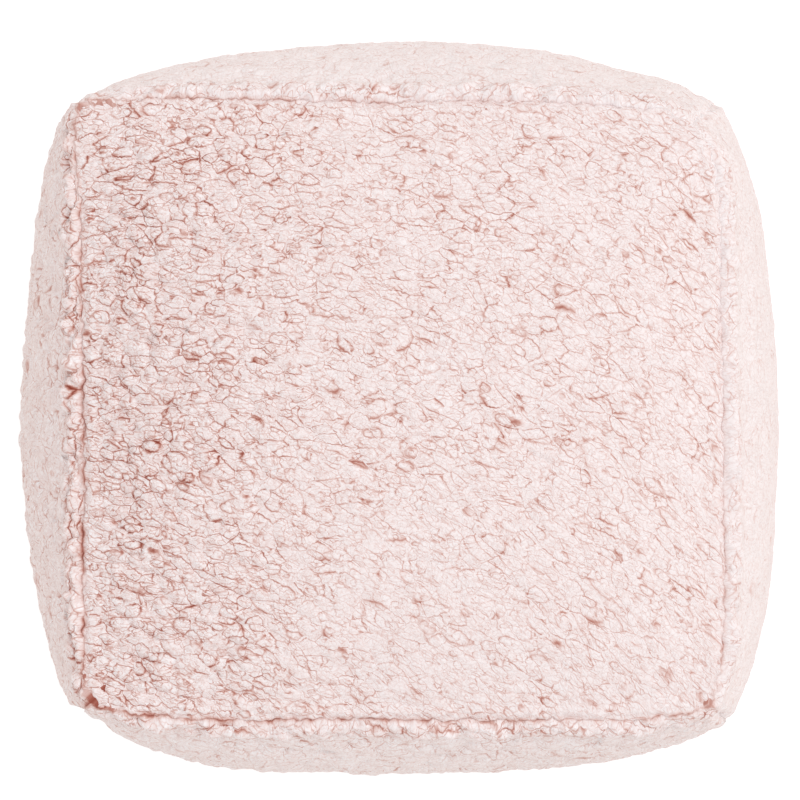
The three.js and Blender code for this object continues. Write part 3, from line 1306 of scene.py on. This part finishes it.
@dataclass
class TopPanel(Panel):
    """The crowned top panel, whose curls are smaller and rougher towards the left."""

    steps: int = 310
    crowding: float = 3.0
    scale: float = 1.06
    lean: float = 0.5
    fall: float = 1.3
    shear: float = 0.5

    def stations(self) -> tuple[Array, ...]:
        """Steps over the crown that crowd at its seams, both ways."""
        fine = np.linspace(0, 1, 4001)
        middle = np.full_like(fine, 0.5)
        curves = (self.form.top_point(fine, middle), self.form.top_point(middle, fine))
        return tuple(stations_on(curve, self.steps, self.crowding, self.crowding) for curve in curves)

    def plain_points(self, along: Array, up: Array) -> Array:
        """The crown over the top seam loop."""
        return self.form.top_point(along, up)

    def pattern_cloth(self, surface: Surface) -> Array:
        """The cloth with its left part drawn out, and its grain turned.

        x becomes scale * x - lean * x ** 2 / 2, and y is scaled by scale - lean * x. The turn adds
        fall * x ** 2 / 2 - shear * x * y to y, so that the grain falls more steeply towards the right and
        the front.

        Args:
            surface: The measured face.

        Returns:
            Places of shape (..., 2).
        """
        x, y = surface.cloth[..., 0], surface.cloth[..., 1]
        turn = self.fall * x**2 / 2 - self.shear * x * y
        return np.stack([self.scale * x - self.lean * x**2 / 2, y * (self.scale - self.lean * x) + turn], -1)

    def roughness_at(self, surface: Surface) -> Array:
        """Roughness of the pile, with wandering borders between its regions.

        It is 0.76, with up to 0.78 more at the left, 0.13 less at the right, 0.08 less at the front, and up
        to 0.18 less in a calm spot in front of the middle.

        Args:
            surface: The measured face.

        Returns:
            The roughness at each grid point.
        """
        wander = 25 * MM * SpaceNoise(5, 90 * MM).at(surface.cloth, 2)
        x, y = surface.cloth[..., 0] + wander, surface.cloth[..., 1] + wander
        calm = 0.18 * bell(x - 0.02, 0.09) * bell(y + 0.11, 0.07)
        front = 0.08 * (1 - ease(-0.17, -0.02, y))
        return 0.76 + 0.78 * (1 - ease(-0.17, -0.01, x)) - 0.13 * ease(0.04, 0.14, x) - calm - front

    def relief_gain(self, surface: Surface) -> Array:
        """Curls stand a little higher where the pile is rougher."""
        return 0.90 + 0.15 * self.roughness_at(surface)


@dataclass
class SidePanel(Panel):
    """A bellied side panel, with a ridge of standing pile beside its top seam.

    Its pile has the roughness plain, and the roughness rough in the ridge.
    """

    seam_shade_width: float = 1.0 * MM
    seam_calm: float = 0.3
    side: Side = Side.FRONT
    plain: float = 1.0
    rough: float = 1.0
    steps: int = 276
    ridge_height: float = 6.5 * MM
    hanging: float = 0.5
    hanging_from: float = 22 * MM

    def stations(self) -> tuple[Array, ...]:
        """Steps along the side, and steps up it that crowd towards the top seam."""
        fine = np.linspace(0, 1, 4001)
        along = self.form.side_point(self.side, fine, self.form.fullest_rise)
        up = self.form.side_point(self.side, self.form.sides[self.side].fullest, fine)
        return stations_on(along, self.steps, 0.6, 0.6), stations_on(up, self.steps, 0.3, 2.5, 30 * MM)

    def plain_points(self, along: Array, up: Array) -> Array:
        """The side's outer surface."""
        return self.form.side_point(self.side, along, up)

    def ridge_at(self, surface: Surface) -> Array:
        """A ridge beside the top seam, uneven and lower near its corners, and a low one at the other seams.

        Args:
            surface: The measured face.

        Returns:
            The heights in metres.
        """
        uneven = 0.8 + 0.5 * SpaceNoise(self.nap.seed + 71, 12 * MM).at(surface.points, 2)
        to_corner = travel(surface.points, 1)[:, -1:] / 2 - np.abs(surface.cloth[..., 0])
        full = 0.35 + 0.65 * ease(12 * MM, 40 * MM, to_corner)
        ridge = self.ridge_height * full * uneven * bell(surface.to_top - 7 * MM, 9 * MM)
        return np.maximum(ridge, super().ridge_at(surface))

    def relief_gain(self, surface: Surface) -> Array:
        """Curls stand higher than the top's, and higher again in the ridge, by its roughness."""
        return 1.4 + 0.7 * self.rough * bell(surface.to_top, 18 * MM)

    def crispness_at(self, surface: Surface) -> Array:
        """The side's pile is combed soft, and its partings are sharp in the ridge alone."""
        return 0.4 + 0.6 * bell(surface.to_top, 15 * MM)

    def roughness_at(self, surface: Surface) -> Array:
        """From the ridge's roughness beside the top seam to the plain one below."""
        return self.plain + (self.rough - self.plain) * bell(surface.to_top, 15 * MM)

    def pattern_cloth(self, surface: Surface) -> Array:
        """The cloth with its height drawn in away from the top seam, so that the curls there hang long."""
        x, y = surface.cloth[..., 0], surface.cloth[..., 1]
        drawn = self.hanging_from * np.exp(-surface.to_top / self.hanging_from)
        return np.stack([x, self.hanging * (y + drawn)], -1)


@dataclass
class BasePanel(Panel):
    """The base panel, flat where the pouf rests."""

    steps: int = 150

    def stations(self) -> tuple[Array, ...]:
        """Even steps both ways."""
        return (np.linspace(0, 1, self.steps + 1),) * 2

    def plain_points(self, along: Array, up: Array) -> Array:
        """The flat and its roll, mirrored so that it faces down."""
        return self.form.base_point(1 - along, up)

    def finish_points(self, points: Array) -> Array:
        """Curls that reach the floor lie flat on it."""
        return np.maximum(points, [-np.inf, -np.inf, 0])


@dataclass(frozen=True)
class Studio:
    """A plain pale floor, soft light from all round with a softbox at the right, and a camera above."""

    camera_height: float = 4.6
    belly_z: float = 0.19
    belly_width: float = 0.460
    belly_pixels: float = 756
    frame_pixels: float = 800
    sensor: float = 36.0
    aim: tuple[float, float] = (0.0003, 0.0043)
    floor_half: float = 12.0
    floor_colour: tuple[float, ...] = (0.5, 0.5, 0.5, 1)
    floor_seen: tuple[float, ...] = (0.65, 0.65, 0.65, 1)
    floor_thrown: tuple[float, ...] = (0.42, 0.37, 0.32, 1)
    sky: float = 0.86
    softbox_size: float = 4.8
    softbox_energy: float = 132
    softbox_place: tuple[float, ...] = (3.5, 1.4, 6.0)
    softbox_aim: tuple[float, ...] = (0, 0, 0.3)

    def build(self) -> None:
        """Makes the floor, the lights, the sky and the camera."""
        self._floor()
        self._lights()
        self._camera()

    def _floor(self) -> None:
        """A pale floor, lit a little from itself so that it stays plain, and warm in what it throws back."""
        half = self.floor_half
        mesh = bpy.data.meshes.new("floor")
        corners = [(-half, -half, 0), (half, -half, 0), (half, half, 0), (-half, half, 0)]
        mesh.from_pydata(corners, [], [(0, 1, 2, 3)])
        material, bench, shader = new_material("pale floor")
        seen = bench.wired(bench.add("ShaderNodeLightPath"))["Is Camera Ray"]
        bench.wired(shader, {
            "Base Color": self.floor_colour,
            "Roughness": 0.9,
            "Specular IOR Level": 0.1,
            "Emission Color": bench.mix(seen, self.floor_thrown, self.floor_seen),
            "Emission Strength": 1.0,
        })
        mesh.materials.append(material)
        linked("floor", mesh)

    def _lights(self) -> None:
        """A white sky, and a softbox to the right and a little behind."""
        world = bpy.data.worlds.new("studio sky")
        world.use_nodes = True
        background = world.node_tree.nodes["Background"]
        background.inputs["Color"].default_value = (1, 1, 1, 1)
        background.inputs["Strength"].default_value = self.sky
        bpy.context.scene.world = world
        light = bpy.data.lights.new("softbox", "AREA")
        light.shape = "SQUARE"
        light.size = self.softbox_size
        light.energy = self.softbox_energy
        softbox = linked("softbox", light)
        softbox.location = self.softbox_place
        aim = Vector(self.softbox_aim) - softbox.location
        softbox.rotation_euler = aim.to_track_quat("-Z", "Y").to_euler()
        bpy.context.scene.view_settings.view_transform = "Standard"

    def _camera(self) -> None:
        """A long lens that looks straight down, with the belly as wide as in the photograph."""
        camera = bpy.data.cameras.new("camera")
        camera.sensor_width = self.sensor
        distance = self.camera_height - self.belly_z
        camera.lens = self.sensor * distance * self.belly_pixels / (self.belly_width * self.frame_pixels)
        holder = linked("camera", camera)
        holder.location = (*self.aim, self.camera_height)
        bpy.context.scene.camera = holder


def panels(form: PoufForm, cage: Cage) -> list[Panel]:
    """The six panels over their nodes. Each side's tint is painted shade: its tips are paler where it stands
    in full light and darker at the left, in shade. Its plain and rough set its relief and how strongly the
    painted shade of its partings shows, which is weaker on the right and the back, in full light.

    Args:
        form: The pouf's form.
        cage: The settled cover.

    Returns:
        The panels, not yet built.
    """
    # Each side's tone offset is painted shade, darker on the left and paler on the right and back in full
    # light; plain and rough also weaken the partings' painted shade on those lit sides.
    sides = {
        Side.FRONT: {"plain": 1.0, "rough": 1.1, "tint": -0.2},
        Side.RIGHT: {"plain": 0.45, "rough": 0.42, "tint": -1.4},
        Side.BACK: {"plain": 0.65, "rough": 0.8, "tint": -1.3},
        Side.LEFT: {"plain": 1.25, "rough": 1.8, "tint": 1.5},
    }
    return [
        TopPanel(form, cage, "top_panel", 0.366, Nap(100)),
        BasePanel(form, cage, "base_panel", 0.020, Nap(200)),
        *(SidePanel(form, cage, side.node, 0.2, Nap(300 + 100 * side, 0.0, 0.9), side=side, **pile)
          for side, pile in sides.items()),
    ]


def main() -> None:
    """Builds the studio, lets the cover settle as cloth, and raises the fleece on each panel."""
    logging.basicConfig(level=logging.INFO, format="%(message)s")
    Studio().build()
    form = PoufForm()
    cage = Cage(form)
    cage.settle()
    finish = FleeceFinish().build()
    for panel in panels(form, cage):
        panel.build(finish)


if __name__ == "__main__":
    main()
